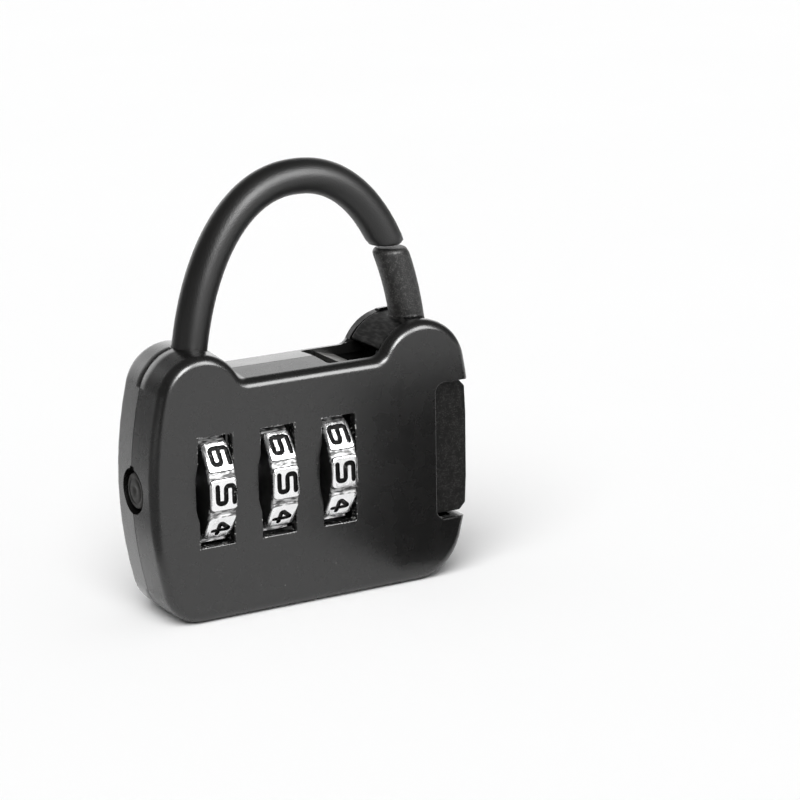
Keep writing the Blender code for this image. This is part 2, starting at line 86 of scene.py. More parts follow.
# ---- covers ----
PARTING_GAP = 0.02                               # parting plane to either cover
SEAM_BREAK = 0.05                                # rounding along the parting line
DRAFT = 0.23                                     # how far a side leans in before its edge rounding
ROUND_FROM, ROUND_INSET, ROUND_STEPS = 3.7, 1.35, 9   # depth where the rounding starts, how far in it reaches
LOWER_LEFT = (-14.38, 4.72, 4.72)                # outline circles: x, z, radius
LOWER_RIGHT = (13.3, 6.16, 6.16)
LEFT_SHOULDER = (-13.71, 25.26, 5.44)
RIGHT_SHOULDER = (PIVOT[0], PIVOT[1], 6.0)
SIDE_RADIUS = 47.0
RECESS_Z = 27.32                                 # the flat top between the shoulders
FILLET = 1.15
BASE_FADE = (0.5, 4.0)                           # heights over which the underside's levelling fades out
WALL_Y = 3.8
CAVITY = ((-14.4, 1.4), (13.4, 1.4), (16.8, 3.0), (18.0, 6.2), (18.0, 23.0), (11.0, 26.0),
          (-9.6, 26.0), (-9.6, 23.2), (-17.8, 23.2), (-18.7, 18.6), (-18.7, 11.6), (-17.7, 5.0))
LIP = 0.12                                       # rounding of the windows' and the slot's edges
WINDOW, WINDOW_CORNER = (4.19, 12.55), 0.2       # width and height
SCOOP_WIDTH, SCOOP_UNDER, SCOOP_RADII = 0.45, 0.3, (5.3, 6.75)
NOTCH_X, NOTCH_Z, NOTCH_CORNER, NOTCH_LIP = 15.6, (7.0, 23.2), 1.1, 0.2
NOTCH_FLARE = ((19.7, 0.0), (19.95, 0.07), (20.1, 0.2), (20.2, 0.5), (24.0, 0.5))   # x, opening
NOTCH_FLARE_LOW = 0.6                            # the lower flare starts this much deeper than the upper
SLOT_X, SLOT_HALF_Y, SLOT_FLOOR_Z, SLOT_CORNER = (2.6, 10.5), 3.4, 25.6, 0.5
HUB_ROOM_Y, HUB_ROOM, HUB_SWEEP, HUB_MOUTH = 3.45, 5.0, 5.7, 8.0   # half depth and radii of the hub's room
REAR_RIM = (5.5, 100, 152)                       # radius and degrees of the rear cover's cut behind the hub
STOP_BLOCK_SINK = 0.4                            # how deep the block below the gate sits in the wall
STOP_BLOCK = ((4.6, 25.0), (7.0, 25.0), (7.0, 26.1), (4.6, 26.75))
OUTSIDE_X = -24.0                                # clear of the left side
RESET_HOLE, RESET_RADIUS = 2.6, 2.12             # radii of the hole and of the screw's head
RESET_HOLE_FLOOR_X = -18.3
RESET_NICK_X, RESET_NICK_Y, RESET_NICK_UP = -19.2, (-0.5, 0.45), (-0.25, 0.3)   # a nick in the hole's top
RESET_FLANGE_X, RESET_FLANGE = (-18.5, -17.9), 3.0
SPINDLE_END = 1.6                                # radius of the screw's inner end
SPINDLE_SEAT_X, SPINDLE_SEAT = (-18.7, 12.0), 1.7

# ---- wheels ----
DIAL_RADIUS, DIAL_HALF_WIDTH, DIAL_BORE = 7.15, 1.68, 2.7
FACETS = 10
FLAT_PLANE = DIAL_RADIUS * math.cos(math.radians(0.4 * 360 / FACETS))   # axis to a flat
GROOVE_DEPTH = 0.35
PAD_END, PAD_CORNER = 0.39, 0.55                 # a flat's half length in facets, and its corner radius
PAD_BREAK, PAD_DROP = 0.03, 0.06                 # its broken end's length in facets, and depth
PAD_EDGE = 0.26                                  # rounding of the wheel's rims
DIGIT_SIZE, DIGIT_CORNER = (2.5, 2.6), 0.42      # along the rim and across the wheel
DIGIT_SHIFT = (0.2, 0.08, 0.0)                   # each wheel's numbers stand off its middle by this much
DIAL_TURN_DEG = (-0.8, -1.7, -2.4)               # how far each wheel stands off the straight setting
STROKE_WIDTH, STROKE_DEPTH = 0.6, 0.2
FIRST_DIGIT = 5                                  # the digit that faces the front on each wheel

# ---- shackle ----
ROD_RADIUS = 2.0
# The rod's middle line is a superellipse. A power of 2 would make it an ellipse.
ARCH_CENTRE, ARCH_X, ARCH_Z, ARCH_POWER = (0.89, 22.3), 14.24, 25.69, 2.18
HOOK_FACE_Z, GATE_FACE_Z = 39.05, 38.6           # both free ends are cut level
HOOK_EDGE, GATE_EDGE = 0.42, 0.5                 # rounding of the free ends
GATE_OFFSET = 0.1
HOOK_SEAT_ANGLE, HOOK_SEAT_GAP = 0.36, 0.06      # how far up the arch the seat follows, in radians
GATE_FOOT_Z = 29.0
LEAN_STEPS = 6                                   # rings over which a rod's end turns level
STEEPEST_LEAN = 0.8                              # cosine of the lean past which a ring isn't widened more
HUB_RADIUS, HUB_HALF_Y, HUB_SECTOR = 5.55, 3.3, (20, 150)
HUB_CORE, FRONT_POCKET, SPRING_POCKET, PIVOT_BORE = 1.85, 4.35, 3.1, 0.86   # radii
POCKET_Y = (-2.3, 2.35)                          # floors of the hub's two pockets
CLEAR_Y = 5.0                                    # past either side of the hub, for cutters
GATE_SWING_DEG, HUB_SPARE_DEG = 60, 4
CAST_VOXEL = 0.13

# ---- button ----
BUTTON_BORE = (2.45, 3.2)                        # radius and depth
PLATE_SLOT = ((3.7, 4.6), (-3.3, -2.3), (20.3, 24.0))   # x from the pivot, y, z
BUTTON_EDGE = 0.42
BUTTON_FOOT = (1.8, 1.1)                         # the foot's width, and its height below the face
BUTTON_INSET, BUTTON_STEP = 0.06, 0.9            # from the CAD's box to the face, and from there to its sides
BUTTON_EASE = ((0.15, 0.8), (0.0, 4.0))          # how far the face stands back this far from either end
FLASH_ENDS = ((1.2, 0.01), (0.85, 0.03))
FLASH_SECTION = ((-0.4, -0.12), (0.05, -0.04), (0.05, 0.04), (-0.4, 0.12))


# ---------------------------------------------------------------- mesh helpers

def linked(name, data):
    """A new object in the scene."""
    made = bpy.data.objects.new(name, data)
    bpy.context.scene.collection.objects.link(made)
    return made


def mesh_object(name, points, faces):
    mesh = bpy.data.meshes.new(name)
    mesh.from_pydata([tuple(mm(c) for c in p) for p in points], [], faces)
    work = bmesh.new()
    work.from_mesh(mesh)
    bmesh.ops.recalc_face_normals(work, faces=work.faces)
    work.to_mesh(mesh)
    work.free()
    return linked(name, mesh)


def loft(name, rings):
    """Skin between rings of equal length, capped at both ends."""
    size = len(rings[0])
    last = (len(rings) - 1) * size
    faces = []
    for a in range(0, last, size):
        faces += [(a + j, a + (j + 1) % size, a + size + (j + 1) % size, a + size + j) for j in range(size)]
    faces += [tuple(range(size)), tuple(range(last, last + size))]
    return mesh_object(name, [p for ring in rings for p in ring], faces)


def arc(centre, radius, start_deg, end_deg, count):
    angles = [math.radians(start_deg + (end_deg - start_deg) * i / count) for i in range(count + 1)]
    return [(centre[0] + radius * math.cos(a), centre[1] + radius * math.sin(a)) for a in angles]


def circle(centre, radius, count=64):
    return arc(centre, radius, 0, 360, count)[:-1]


def along_y(name, loop, low, high):
    return loft(name, [[(x, y, z) for x, z in loop] for y in (low, high)])


def box(name, x, y, z):
    return loft(name, [[(i, y[0], z[0]), (i, y[1], z[0]), (i, y[1], z[1]), (i, y[0], z[1])] for i in x])


def turned(name, steps, count=64):
    """A turned piece on the wheels' axis: steps are (x, radius)."""
    return loft(name, [[(x, y, AXIS_Z + z) for y, z in circle((0, 0), radius, count)] for x, radius in steps])


def rounded_loop(low, high, radius, grow=0.0, steps=6):
    """A rectangle with round corners, counter-clockwise, grown outward by grow."""
    corners = ((high[0] - radius, high[1] - radius, 0), (low[0] + radius, high[1] - radius, 90),
               (low[0] + radius, low[1] + radius, 180), (high[0] - radius, low[1] + radius, 270))
    return [p for x, z, start in corners for p in arc((x, z), radius + grow, start, start + 90, steps)]


def lip_profile(size, steps=5):
    """(grow, height) pairs of a cutter's mouth that leaves a rounded edge; height 0 is the surface."""
    angles = [math.radians(75 * i / steps) for i in range(steps + 1)]
    pairs = [(size * (1 - math.cos(a)), -size * (1 - math.sin(a))) for a in angles]
    slope = math.tan(angles[-1])
    grow, height = pairs[-1]
    return pairs + [(grow + (0.1 - height) * slope * 0.35, 0.1)]


def mouth_cutter(name, loop_at, side, inner_y, lip=LIP):
    """A cutter through a flat face; loop_at(grow) gives its outline in the XZ plane."""
    steps = [(0.0, inner_y)] + [(grow, FACE_Y + height) for grow, height in lip_profile(lip)]
    steps.append((steps[-1][0], FACE_Y + 1.0))
    return loft(name, [[(x, side * y, z) for x, z in loop_at(grow)] for grow, y in steps])


def rod(name, path, normals, radii, sides=40):
    """A round rod in the XZ plane. Each ring is flat to its normal, and widened where it leans over."""
    angles = [math.tau * (j + 0.5) / sides for j in range(sides)]
    rings = []
    for i, ((x, z), (nx, nz), radius) in enumerate(zip(path, normals, radii)):
        before, after = path[max(i - 1, 0)], path[min(i + 1, len(path) - 1)]
        run, rise = after[0] - before[0], after[1] - before[1]
        lean = max(STEEPEST_LEAN, abs(run * nx + rise * nz) / math.hypot(run, rise))
        rings.append([(x + radius * math.cos(a) / lean * nz, radius * math.sin(a),
                       z - radius * math.cos(a) / lean * nx) for a in angles])
    return loft(name, rings)


def modify(target, kind, **settings):
    step = target.modifiers.new(kind.lower(), kind)
    for key, value in settings.items():
        setattr(step, key, value)


def settle(target):
    """Turns the modifiers into mesh, and removes the cutters they used."""
    tools = [m.object for m in target.modifiers if m.type == "BOOLEAN"]
    graph = bpy.context.evaluated_depsgraph_get()
    mesh = bpy.data.meshes.new_from_object(target.evaluated_get(graph))
    target.modifiers.clear()
    target.data = mesh
    for tool in tools:
        bpy.data.objects.remove(tool)


def change(target, operation, *tools, overlaps=False):
    for tool in tools:
        modify(target, "BOOLEAN", operation=operation, solver="EXACT", object=tool, use_self=overlaps)
    settle(target)


def cut(target, *tools, overlaps=False):
    change(target, "DIFFERENCE", *tools, overlaps=overlaps)


def join(target, *tools):
    change(target, "UNION", *tools)


def body_of(node):
    bodies = frame["record"]["behaviour"]["bodies"]
    return next(body for body, nodes in bodies.items() if node in nodes)


def shown(target, node, material=None, sharp_deg=38):
    """Gives a finished mesh its shading and body, and its material if one is given, and hides the CAD node it
    stands for.
    """
    mesh = target.data
    if material:
        mesh.materials.clear()
        mesh.materials.append(material)
    mesh.shade_smooth()
    mesh.set_sharp_from_angle(angle=math.radians(sharp_deg))
    modify(target, "WEIGHTED_NORMAL", keep_sharp=True)
    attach(target, body_of(node))
    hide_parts(node)
    return target


# ---------------------------------------------------------------- materials

def add_node(tree, kind, sockets, **settings):
    """A shader node; each of its sockets is linked or set."""
    made = tree.nodes.new(kind)
    for key, value in settings.items():
        setattr(made, key, value)
    for key, value in sockets.items():
        if isinstance(value, bpy.types.NodeSocket):
            tree.links.new(value, made.inputs[key])
        else:
            made.inputs[key].default_value = value
    return made


class Finish:
    """A material's node tree, with short ways to add the nodes used here. Patterns are in object space."""

    def __init__(self, name, colour, roughness, metallic=0.0, **more):
        self.material = bpy.data.materials.new(name)
        self.material.use_nodes = True
        self.tree = self.material.node_tree
        self.shader = self.tree.nodes["Principled BSDF"]
        settings = {"Base Color": (*colour, 1), "Roughness": roughness, "Metallic": metallic, **more}
        for socket, value in settings.items():
            self.shader.inputs[socket.replace("_", " ")].default_value = value
        self.place = self.node("ShaderNodeTexCoord", {}).outputs["Object"]

    def node(self, kind, sockets, **settings):
        return add_node(self.tree, kind, sockets, **settings)

    def noise(self, size, detail=3.0, stretch=None):
        """Noise with features of this many millimetres."""
        place = self.place
        if stretch:
            place = self.node("ShaderNodeMapping", {"Vector": place, "Scale": stretch}).outputs[0]
        sockets = {"Vector": place, "Scale": 1000 / size, "Detail": detail}
        return self.node("ShaderNodeTexNoise", sockets).outputs["Fac"]

    def specks(self, spacing, radius, offset=0.0):
        """1 inside small round spots, about this far apart."""
        moved = {0: self.place, 1: (offset, offset, offset)}
        place = self.node("ShaderNodeVectorMath", moved, operation="ADD").outputs[0]
        spots = self.node("ShaderNodeTexVoronoi", {"Vector": place, "Scale": 1000 / spacing})
        return self.ramp(spots.outputs["Distance"], radius / spacing, 0.6 * radius / spacing)

    def ramp(self, value, low, high, to_low=0.0, to_high=1.0):
        """Maps low to high smoothly onto to_low to to_high."""
        sockets = {0: value, 1: low, 2: high, 3: to_low, 4: to_high}
        return self.node("ShaderNodeMapRange", sockets, interpolation_type="SMOOTHSTEP").outputs[0]

    def calc(self, operation, first, second=0.0):
        return self.node("ShaderNodeMath", {0: first, 1: second}, operation=operation).outputs[0]

    def colour(self, share, low, high):
        """A colour between two, by share; each is a plain colour or a socket."""
        low, high = (end if isinstance(end, bpy.types.NodeSocket) else (*end, 1) for end in (low, high))
        return self.node("ShaderNodeMix", {0: share, 6: low, 7: high}, data_type="RGBA").outputs[2]

    def set(self, socket, value):
        self.tree.links.new(value, self.shader.inputs[socket])

    def bump(self, *layers):
        """Each layer is (height, distance in millimetres)."""
        normal = None
        for height, distance in layers:
            sockets = {"Height": height, "Distance": mm(distance), "Strength": 1.0}
            if normal:
                sockets["Normal"] = normal
            normal = self.node("ShaderNodeBump", sockets).outputs[0]
        self.set("Normal", normal)


def window_rim_share(finish):
    """How near a point on a cover is to a window's rim: 1 on the rim, 0 from a fifth of a millimetre away."""
    x, _, z = finish.node("ShaderNodeSeparateXYZ", {0: finish.place}).outputs
    outside_x = None
    for window_x in WINDOW_X:
        from_middle = finish.calc("ABSOLUTE", finish.calc("SUBTRACT", x, mm(window_x)))
        gap = finish.calc("SUBTRACT", from_middle, mm(WINDOW[0] / 2))
        outside_x = finish.calc("MINIMUM", outside_x, gap) if outside_x else gap
    across = finish.calc("ABSOLUTE", finish.calc("SUBTRACT", z, mm(AXIS_Z)))
    outside_z = finish.calc("SUBTRACT", across, mm(WINDOW[1] / 2))
    distance = finish.calc("ABSOLUTE", finish.calc("MAXIMUM", outside_x, outside_z))
    return finish.ramp(distance, mm(0.22), mm(0.05))


def black_paint(name, roughness, shine, grain, rims=False):
    """Satin paint with a few specks of dust, and with light flecks painted along the windows' rims as highlights
    if asked.
    """
    finish = Finish(name, (0.0055, 0.0054, 0.0052), roughness, Specular_IOR_Level=shine)
    mottle = finish.noise(4.0)
    tone = finish.colour(mottle, (0.0050, 0.0049, 0.0047), (0.0060, 0.0058, 0.0056))
    dust = finish.calc("MAXIMUM", finish.specks(3.1, 0.085), finish.specks(2.3, 0.06, 0.0107))
    sparse = finish.ramp(finish.noise(5.0, 1.0), 0.55, 0.62)
    tone = finish.colour(finish.calc("MULTIPLY", dust, sparse), tone, (0.33, 0.32, 0.31))
    if rims:
        # painted highlight: light flecks in the colour along the windows' rims stand in for the rims' edge
        # highlights
        flecks = finish.ramp(finish.noise(0.3, 2.0), 0.6, 0.68)
        painted_highlight = finish.calc("MULTIPLY", flecks, window_rim_share(finish))
        tone = finish.colour(painted_highlight, tone, (0.42, 0.42, 0.41))
    finish.set("Base Color", tone)
    finish.set("Roughness", finish.ramp(finish.noise(2.5), 0.3, 0.7, roughness - 0.01, roughness + 0.015))
    finish.bump((finish.noise(0.9, 2.0), 0.0012), (finish.noise(0.16, 2.0), grain))
    return finish.material


def cast_black(name, grain, shine, painted_glint_tone):
    """A black casting with a grain of this depth, with light specks painted into its colour as glints here and
    there.
    """
    finish = Finish(name, (0.012, 0.0115, 0.011), 0.5, Specular_IOR_Level=shine)
    pits = finish.noise(0.2, 3.0)
    tone = finish.colour(finish.noise(2.4), (0.007, 0.0068, 0.0065), (0.011, 0.0106, 0.0102))
    # painted glints: light specks in the base colour stand in for highlights off the grain
    fine = finish.ramp(finish.noise(0.11, 1.0), 0.49, 0.64)
    broad = finish.ramp(finish.noise(0.5, 1.0), 0.3, 0.55)
    painted_glint_mask = finish.calc("MULTIPLY", fine, broad)
    finish.set("Base Color", finish.colour(painted_glint_mask, tone, (painted_glint_tone, 0.975 * painted_glint_tone, 0.94 * painted_glint_tone)))
    finish.set("Roughness", finish.ramp(pits, 0.35, 0.65, 0.36, 0.55))
    finish.bump((finish.noise(1.5), 0.01), (pits, grain))
    return finish.material


def worn_black():
    """The rim of the gate's hub, streaked where it rubs in the shoulder."""
    finish = Finish("worn_black_hub", (0.009, 0.0088, 0.0085), 0.42, Specular_IOR_Level=0.06)
    streaks = finish.noise(0.3, 3.0, stretch=(1.0, 0.25, 1.0))
    rubbed = finish.ramp(streaks, 0.4, 0.7)
    finish.set("Base Color", finish.colour(rubbed, (0.003, 0.003, 0.0029), (0.02, 0.0195, 0.019)))
    finish.bump((finish.noise(1.5), 0.01), (streaks, 0.02))
    return finish.material


def chrome():
    finish = Finish("chrome_plate", (0.93, 0.93, 0.93), 0.2, 1.0)
    smudge = finish.noise(1.3)
    finish.set("Base Color", finish.colour(smudge, (0.86, 0.86, 0.87), (0.97, 0.97, 0.97)))
    finish.set("Roughness", finish.ramp(finish.noise(0.6), 0.3, 0.7, 0.16, 0.28))
    finish.bump((finish.noise(1.1, 2.0), 0.012), (finish.noise(0.22, 2.0), 0.004))
    return finish.material


def rough_chrome():
    """The tooled strips between the numbers."""
    finish = Finish("chrome_tooled", (0.7, 0.7, 0.71), 0.3, 1.0)
    lines = finish.noise(0.3, 3.0, stretch=(0.35, 1.0, 1.0))
    ridges = finish.ramp(lines, 0.38, 0.62)
    finish.set("Base Color", finish.colour(ridges, (0.07, 0.07, 0.07), (0.5, 0.5, 0.5)))
    finish.set("Roughness", finish.ramp(lines, 0.3, 0.7, 0.5, 0.65))
    finish.bump((lines, 0.12))
    return finish.material


def shaded_wheel_side():
    """The bare sides of the wheels, dull, with turned lines; their dark colour is painted shade for the shadow
    they stand in beside the windows.
    """
    finish = Finish("shaded_wheel_side", (0.05, 0.05, 0.05), 0.5, 1.0)
    turned_lines = finish.noise(0.4, 3.0, stretch=(1.0, 0.4, 0.4))
    # painted shade: the dark base colour stands in for the shadow on the sides; the turned lines are real
    finish.set("Base Color", finish.colour(turned_lines, (0.02, 0.02, 0.02), (0.09, 0.09, 0.088)))
    finish.bump((turned_lines, 0.01))
    return finish.material


def enamel():
    """The paint in the numbers, with grey patches painted in here and there as highlights."""
    finish = Finish("black_enamel", (0.003, 0.003, 0.003), 0.22, Specular_IOR_Level=0.12)
    pooled = finish.noise(0.5)
    # painted highlight: grey patches in the colour stand in for glints off the glossy strokes
    painted_highlight = finish.ramp(pooled, 0.66, 0.74)
    finish.set("Base Color", finish.colour(painted_highlight, (0.003, 0.003, 0.003), (0.16, 0.16, 0.16)))
    finish.set("Roughness", finish.ramp(pooled, 0.3, 0.7, 0.18, 0.4))
    finish.bump((pooled, 0.03))
    return finish.material


def metal(name, dark, light, roughness, brushed=(0.25, 1.0, 1.0)):
    """Bare metal with fine lines; brushed is the stretch of their pattern."""
    finish = Finish(name, light, roughness, 1.0)
    lines = finish.noise(0.35, 3.0, stretch=brushed)
    finish.set("Base Color", finish.colour(lines, dark, light))
    finish.set("Roughness", finish.ramp(lines, 0.3, 0.7, roughness - 0.08, roughness + 0.12))
    finish.bump((lines, 0.012))
    return finish.material


PAINT_COVER = black_paint("black_paint_cover", 0.27, 0.77, 0.003, rims=True)
PAINT_ROD = black_paint("black_paint_rod", 0.4, 0.55, 0.025)
CAST_GATE = cast_black("cast_black_gate", 0.03, 0.5, 0.07)
WORN_HUB = worn_black()
CAST_BUTTON = cast_black("cast_black_button", 0.035, 0.15, 0.035)
BARE_CASTING = metal("bare_casting", (0.16, 0.16, 0.155), (0.40, 0.395, 0.385), 0.55)
SCREW_FACE = metal("screw_face", (0.025, 0.025, 0.024), (0.12, 0.117, 0.113), 0.5, brushed=(1.0, 0.3, 1.0))
CHROME, TOOLED, ENAMEL, SHADED_WHEEL_SIDE = chrome(), rough_chrome(), enamel(), shaded_wheel_side()
ZINC = metal("bare_zinc", (0.26, 0.26, 0.27), (0.46, 0.46, 0.47), 0.42)
STEEL = metal("spring_steel_wire", (0.40, 0.41, 0.42), (0.62, 0.63, 0.64), 0.28)


# ---------------------------------------------------------------- covers

def side_centre(low, high, sign):
    """Centre of the bowed side, inside-tangent to two corner circles; sign is +1 for the right side."""
    reach_low, reach_high = SIDE_RADIUS - low[2], SIDE_RADIUS - high[2]
    dx, dz = high[0] - low[0], high[1] - low[1]
    span = math.hypot(dx, dz)
    along = (reach_low ** 2 - reach_high ** 2 + span ** 2) / (2 * span)
    off = math.sqrt(reach_low ** 2 - along ** 2)
    ux, uz = dx / span, dz / span
    return low[0] + ux * along - sign * uz * off, low[1] + uz * along + sign * ux * off


def bearing(start_point, end_point):
    return math.degrees(math.atan2(end_point[1] - start_point[1], end_point[0] - start_point[0])) % 360


def fillet_centre(shoulder, sign):
    """Centre of the concave fillet beside a shoulder; sign is +1 when it lies at greater x."""
    rise = RECESS_Z + FILLET - shoulder[1]
    return shoulder[0] + sign * math.sqrt((shoulder[2] + FILLET) ** 2 - rise ** 2), RECESS_Z + FILLET


def outline(inset):
    """The covers' outline, drawn inward by inset, counter-clockwise from the lower right."""
    right, left = side_centre(LOWER_RIGHT, RIGHT_SHOULDER, 1), side_centre(LOWER_LEFT, LEFT_SHOULDER, -1)
    right_fillet, left_fillet = fillet_centre(RIGHT_SHOULDER, -1), fillet_centre(LEFT_SHOULDER, 1)
    low_right, high_right = bearing(right, LOWER_RIGHT) - 360, bearing(right, RIGHT_SHOULDER)
    high_left, low_left = bearing(left, LEFT_SHOULDER), bearing(left, LOWER_LEFT)
    to_right_fillet = bearing(RIGHT_SHOULDER, right_fillet)
    to_left_shoulder = bearing(left_fillet, LEFT_SHOULDER)
    arcs = (
        (LOWER_RIGHT, LOWER_RIGHT[2] - inset, -90, low_right, 20),
        (right, SIDE_RADIUS - inset, low_right, high_right, 10),
        (RIGHT_SHOULDER, RIGHT_SHOULDER[2] - inset, high_right, to_right_fillet, 40),
        (right_fillet, FILLET + inset, to_right_fillet + 180, 270, 12),
        (left_fillet, FILLET + inset, 270, to_left_shoulder, 12),
        (LEFT_SHOULDER, LEFT_SHOULDER[2] - inset, to_left_shoulder - 180, high_left, 40),
        (left, SIDE_RADIUS - inset, high_left, low_left, 10),
        (LOWER_LEFT, LOWER_LEFT[2] - inset, low_left, 270, 18),
    )
    points = []
    for centre, radius, start_deg, end_deg, count in arcs:
        run = arc(centre, radius, start_deg, end_deg, count)
        points += run if not points or math.dist(points[-1], run[0]) > 1e-3 else run[1:]
    return points


def level_base(inset):
    """The drafted outline with its underside brought back to z = 0, fading out up the corners."""
    drop = min(inset, DRAFT)
    low, high = BASE_FADE
    return [(x, z - drop * max(0.0, min(1.0, (high - z) / (high - low)))) for x, z in outline(inset)]


def cover_rings(side):
    """A cover's sections, from the parting plane to its flat face."""
    near = PARTING_GAP + SEAM_BREAK
    steps = [(SEAM_BREAK, PARTING_GAP), (0.35 * SEAM_BREAK, PARTING_GAP + 0.35 * SEAM_BREAK)]
    steps += [(DRAFT * share, near + (ROUND_FROM - near) * share) for share in (0.0, 0.33, 0.67, 1.0)]
    for i in range(1, ROUND_STEPS + 1):
        angle = math.pi / 2 * i / ROUND_STEPS
        inset = ROUND_INSET - (ROUND_INSET - DRAFT) * math.cos(angle)
        steps.append((inset, ROUND_FROM + (FACE_Y - ROUND_FROM) * math.sin(angle)))
    return [[(x, side * depth, z) for x, z in level_base(inset)] for inset, depth in steps]


def notch_loop(grow):
    """The thumb notch in the XZ plane, with its mouth flared where it leaves the side."""
    low, high = NOTCH_Z[0] - grow, NOTCH_Z[1] + grow
    loop = [(x - NOTCH_FLARE_LOW, low - flare) for x, flare in NOTCH_FLARE]
    loop += [(x, high + flare) for x, flare in reversed(NOTCH_FLARE)]
    inner = rounded_loop((NOTCH_X, NOTCH_Z[0]), (NOTCH_X + 3.0, NOTCH_Z[1]), NOTCH_CORNER, grow)
    return loop + [p for p in inner if p[0] < NOTCH_X + 1.5]


def slot_loop(grow):
    """The gate's opening in the flat top, in the XY plane."""
    return rounded_loop((SLOT_X[0], -SLOT_HALF_Y), (SLOT_X[1], SLOT_HALF_Y), SLOT_CORNER, grow)


def sector(radius, start_deg, end_deg):
    return [tuple(PIVOT)] + arc(PIVOT, radius, start_deg, end_deg, 40)


def arch_point(angle):
    """The rod's middle line, from 0 on the gate's side, over the top, to 180 degrees at the hook's foot."""
    rise = math.sin(angle)
    reach = max(0.0, 1 - rise ** ARCH_POWER) ** (1 / ARCH_POWER)
    return ARCH_CENTRE[0] + math.copysign(ARCH_X * reach, math.cos(angle)), ARCH_CENTRE[1] + ARCH_Z * rise


def hub_cutters(side):
    """Room in a cover for the gate's hub and for the sweep of its arm."""
    reach = sorted((side * -1.0, side * HUB_ROOM_Y))
    start_deg, end_deg = HUB_SECTOR[0] - HUB_SPARE_DEG, HUB_SECTOR[1]
    swept_deg = end_deg + GATE_SWING_DEG + 2 * HUB_SPARE_DEG
    return (along_y("hub_room", circle(PIVOT, HUB_ROOM), *reach),
            along_y("hub_sweep", sector(HUB_SWEEP, start_deg, swept_deg), *reach),
            along_y("hub_mouth", sector(HUB_MOUTH, start_deg, end_deg), *reach))


def slot_cutter():
    steps = [(0.0, SLOT_FLOOR_Z)] + [(grow, RECESS_Z + height) for grow, height in lip_profile(LIP)]
    steps.append((steps[-1][0], RECESS_Z + 2.0))
    return loft("gate_slot", [[(x, y, z) for x, y in slot_loop(grow)] for grow, z in steps])


def hook_seat():
    leg = [arch_point(math.pi - HOOK_SEAT_ANGLE * i / 8) for i in range(9)]
    return rod("hook_seat", leg, [(0.0, 1.0)] * len(leg), [ROD_RADIUS + HOOK_SEAT_GAP] * len(leg))


def reset_hole_cutters():
    nick_z = [AXIS_Z + RESET_HOLE + up for up in RESET_NICK_UP]
    return (turned("reset_hole", [(OUTSIDE_X, RESET_HOLE), (RESET_HOLE_FLOOR_X, RESET_HOLE)]),
            box("reset_hole_nick", (OUTSIDE_X, RESET_NICK_X), RESET_NICK_Y, nick_z))


def window_cutters(x, side):
    """A window, and the crescent beside it that the scoop of a large cutter leaves."""
    half_width, half_height = WINDOW[0] / 2, WINDOW[1] / 2
    low, high = (x - half_width, AXIS_Z - half_height), (x + half_width, AXIS_Z + half_height)
    edge = x + side * half_width
    scoop = [(edge + side * SCOOP_WIDTH, SCOOP_RADII[0]), (edge - side * SCOOP_UNDER, SCOOP_RADII[1])]
    window = mouth_cutter("window", lambda grow: rounded_loop(low, high, WINDOW_CORNER, grow), side, 3.0)
    return window, turned("scoop", scoop, count=120)


def cover(name, side):
    shell = loft(name, cover_rings(side))
    for material in (PAINT_COVER, BARE_CASTING):
        shell.data.materials.append(material)
    cut(shell,
        along_y("cavity", CAVITY, *sorted((side * -1.0, side * WALL_Y))),
        *hub_cutters(side),
        slot_cutter(),
        hook_seat(),
        *reset_hole_cutters(),
        turned("spindle_seat", [(x, SPINDLE_SEAT) for x in SPINDLE_SEAT_X]),
        mouth_cutter("notch", notch_loop, side, -1.0, NOTCH_LIP))
    for x in WINDOW_X:
        cut(shell, *window_cutters(x, side))
    if side > 0:
        radius, *span = REAR_RIM
        rim = arc(PIVOT, HUB_MOUTH, *span, 32) + arc(PIVOT, radius, *reversed(span), 32)
        cut(shell, along_y("rear_rim", rim, HUB_ROOM_Y - 0.5, FACE_Y + 1.0))
    block_end = WALL_Y + STOP_BLOCK_SINK
    block = along_y("stop_block", STOP_BLOCK, *sorted((side * PARTING_GAP, side * block_end)))
    block.data.materials.append(BARE_CASTING)
    join(shell, block)
    shown(shell, name)


cover("front_cover", -1)
cover("rear_cover", 1)


# ---------------------------------------------------------------- shackle

def end_rings(path, normals, radii, direction, edge, steps=6):
    """Ends a rod with a flat face and a rounded edge."""
    x, z = path[-1]
    radius = radii[-1]
    for i in range(1, steps + 1):
        angle = math.pi / 2 * i / steps
        path.append((x + direction[0] * edge * math.sin(angle), z + direction[1] * edge * math.sin(angle)))
        normals.append(direction)
        radii.append(radius - edge + edge * math.cos(angle))


def unit(x, z):
    size = math.hypot(x, z)
    return x / size, z / size


def arch_rod(name, first, last, count, facing, edge, offset=0.0):
    """A rod along the arch from one angle to another, whose last rings lean over to end in a level face."""
    path = [arch_point(first + (last - first) * i / count) for i in range(count + 1)]
    path = [(x + offset, z) for x, z in path]
    normals = []
    for i in range(count + 1):
        before, after = path[max(i - 1, 0)], path[min(i + 1, count)]
        along = unit(after[0] - before[0], after[1] - before[1])
        lean = max(0.0, 1 - (count - i) / LEAN_STEPS)
        normals.append(unit(along[0] * (1 - lean), along[1] * (1 - lean) + facing * lean))
    radii = [ROD_RADIUS] * len(path)
    end_rings(path, normals, radii, (0.0, facing), edge)
    return rod(name, path, normals, radii)


def arch_angle(z):
    """Where the right half of the arch reaches this height."""
    return math.asin((z - ARCH_CENTRE[1]) / ARCH_Z)


def shackle_hook():
    hook = arch_rod("shackle_hook_rod", math.pi, arch_angle(HOOK_FACE_Z + HOOK_EDGE), 92, -1.0, HOOK_EDGE)
    shown(hook, "shackle_hook", PAINT_ROD, 60)


